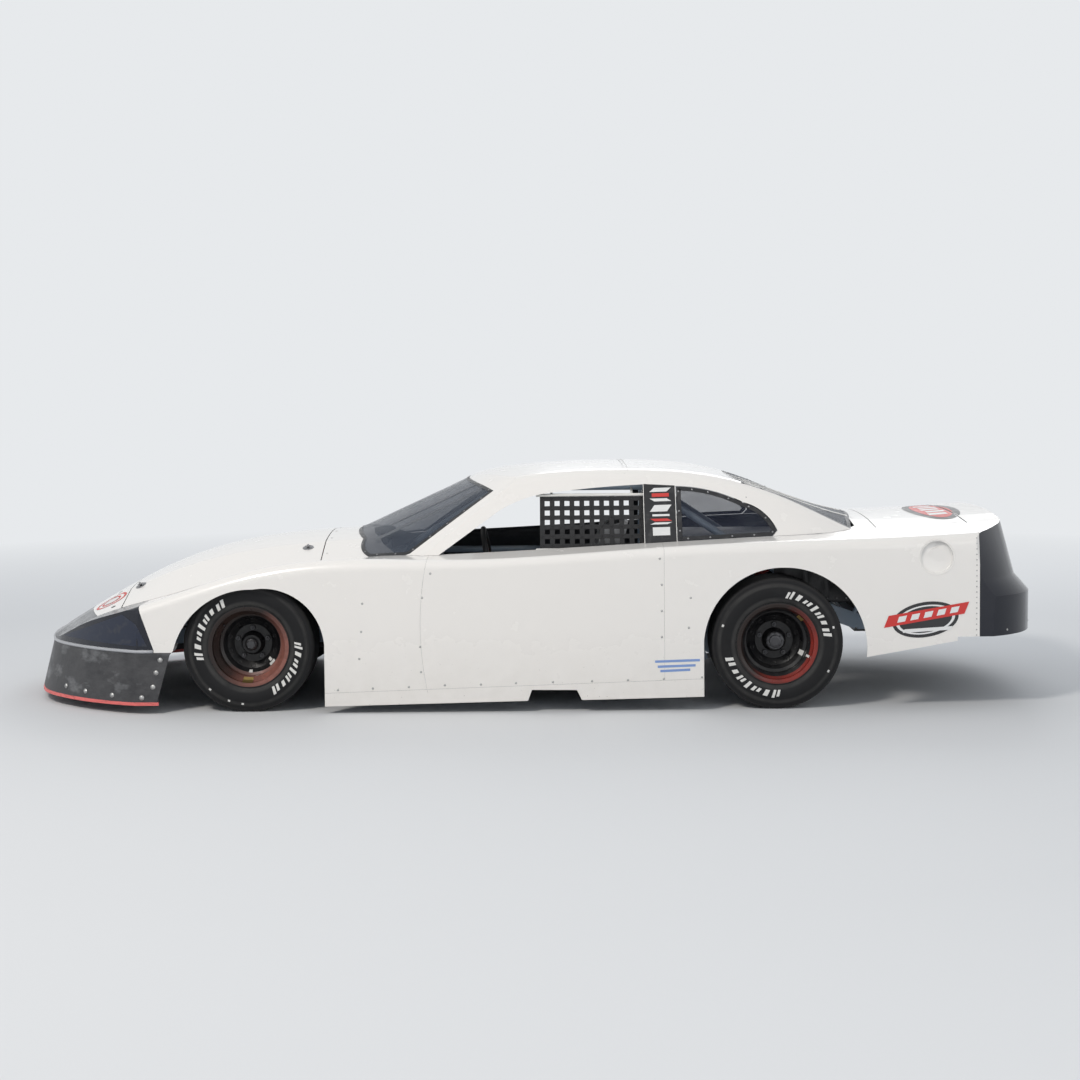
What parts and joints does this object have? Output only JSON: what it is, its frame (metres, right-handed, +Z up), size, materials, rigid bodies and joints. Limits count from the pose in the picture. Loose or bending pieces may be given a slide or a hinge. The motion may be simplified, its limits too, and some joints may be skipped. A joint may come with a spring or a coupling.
{
  "type": "oval track stock car",
  "caption": "Low oval-racing stock car with a riveted sheet body, wide slick tyres, caged cockpit, window net, opening hood and deck lid, and wheels that steer and roll",
  "frame": {"origin": "on the ground at the middle of the overall length and width", "axes": "+X runs to the rear, +Y to the car's right, +Z up; the nose points to -X"},
  "size_m": [5.282, 1.9448, 1.2129],
  "materials": {
    "paint_white": "gloss paint on sheet",
    "cover_black": "gloss black nose and tail covers",
    "valance_grey": "scuffed dark plastic",
    "strip_red": "soft edge strip",
    "pillar_black": "satin black",
    "screen_clear": "clear polycarbonate",
    "window_smoke": "smoked polycarbonate",
    "tube_blue": "satin blue-grey paint",
    "tin_grey": "painted sheet",
    "dash_black": "satin black",
    "engine_grey": "cast",
    "radiator_grey": "bare",
    "exhaust_steel": "heat-stained steel",
    "shaft_steel": "bare steel",
    "cell_black": "moulded",
    "seat_metal": "bare sheet",
    "pad_black": "padded cover",
    "grip_black": "wrapped rim",
    "wheel_black": "gloss black paint",
    "tyre_rubber": "slick tyre",
    "knuckle_steel": "painted casting",
    "arm_black": "painted tube",
    "coil_paint": "painted spring",
    "rack_metal": "machined",
    "axle_paint": "painted steel",
    "link_steel": "bare steel",
    "net_black": "woven webbing",
    "rod_white": "painted rod"
  },
  "bodies": {
    "car": {"nose_top": "paint_white", "nose_bumper": "cover_black", "valance": "valance_grey", "splitter_strip": "strip_red", "cowl_panel": "paint_white", "fender_left": "paint_white", "fender_right": "paint_white", "door_left": "paint_white", "door_right": "paint_white", "rocker_skirts": "paint_white", "quarter_left": "paint_white", "quarter_right": "paint_white", "deck_filler": "paint_white", "tail_cover": "cover_black", "roof": "paint_white", "b_pillars": "pillar_black", "windscreen": "screen_clear", "rear_window": "screen_clear", "quarter_windows": "window_smoke", "fuel_filler": "paint_white", "chassis_frame": "tube_blue", "main_hoop": "tube_blue", "side_rails": "tube_blue", "cage_bars": "tube_blue", "door_bars_left": "tube_blue", "door_bars_right": "tube_blue", "door_posts": "tube_blue", "panel_stays": "tube_blue", "interior_tin": "tin_grey", "dash_panel": "dash_black", "engine": "engine_grey", "radiator": "radiator_grey", "exhaust": "exhaust_steel", "driveshaft": "shaft_steel", "fuel_cell": "cell_black", "seat_shell": "seat_metal", "seat_pad": "pad_black", "steering_column": "shaft_steel", "front_control_arms": "arm_black", "coil_overs": "coil_paint", "rear_axle": "axle_paint", "rear_links": "link_steel", "window_net": "net_black", "net_rods": "rod_white"},
    "hood": {"hood": "paint_white"},
    "deck_lid": {"decklid": "paint_white"},
    "knuckle_left": {"knuckle_left": "knuckle_steel"},
    "knuckle_right": {"knuckle_right": "knuckle_steel"},
    "rack": {"steering_rack": "rack_metal"},
    "hand_wheel": {"steering_wheel": "grip_black"},
    "wheel_front_left": {"wheel_front_left": "wheel_black", "tyre_front_left": "tyre_rubber"},
    "wheel_front_right": {"wheel_front_right": "wheel_black", "tyre_front_right": "tyre_rubber"},
    "wheel_rear_left": {"wheel_rear_left": "wheel_black", "tyre_rear_left": "tyre_rubber"},
    "wheel_rear_right": {"wheel_rear_right": "wheel_black", "tyre_rear_right": "tyre_rubber"}
  },
  "joints": [
    {"name": "steer_left", "type": "hinge", "parent": "car", "child": "knuckle_left", "pos_m": [-1.401, -0.668, 0.333], "axis": [0, 0, 1], "range_deg": [-19, 19]},
    {"name": "steer_right", "type": "hinge", "parent": "car", "child": "knuckle_right", "pos_m": [-1.401, 0.668, 0.333], "axis": [0, 0, 1], "range_deg": [-19, 19]},
    {"name": "rack_slide", "type": "slide", "parent": "car", "child": "rack", "axis": [0, 1, 0], "range_m": [-0.0458, 0.0458]},
    {"name": "hand_wheel_turn", "type": "hinge", "parent": "car", "child": "hand_wheel", "pos_m": [-0.241, -0.385, 0.696], "axis": [0.9854, 0, 0.1701], "range_deg": [-190, 190]},
    {"name": "wheel_front_left_spin", "type": "hinge", "parent": "knuckle_left", "child": "wheel_front_left", "pos_m": [-1.401, -0.775, 0.333], "axis": [0, 1, 0], "continuous": true},
    {"name": "wheel_front_right_spin", "type": "hinge", "parent": "knuckle_right", "child": "wheel_front_right", "pos_m": [-1.401, 0.775, 0.333], "axis": [0, 1, 0], "continuous": true},
    {"name": "wheel_rear_left_spin", "type": "hinge", "parent": "car", "child": "wheel_rear_left", "pos_m": [1.266, -0.8, 0.333], "axis": [0, 1, 0], "continuous": true},
    {"name": "wheel_rear_right_spin", "type": "hinge", "parent": "car", "child": "wheel_rear_right", "pos_m": [1.266, 0.8, 0.333], "axis": [0, 1, 0], "continuous": true},
    {"name": "hood_open", "type": "hinge", "parent": "car", "child": "hood", "pos_m": [-1.0605, 0, 0.853], "axis": [0, 1, 0], "range_deg": [0, 60]},
    {"name": "deck_lid_open", "type": "hinge", "parent": "car", "child": "deck_lid", "pos_m": [1.8065, 0, 0.932], "axis": [0, -1, 0], "range_deg": [0, 60]}
  ],
  "couplings": [
    {"joint": "steer_right", "follows": "steer_left", "ratio": 1},
    {"joint": "rack_slide", "follows": "steer_left", "m_per_rad": -0.1374},
    {"joint": "hand_wheel_turn", "follows": "steer_left", "ratio": 10}
  ]
}
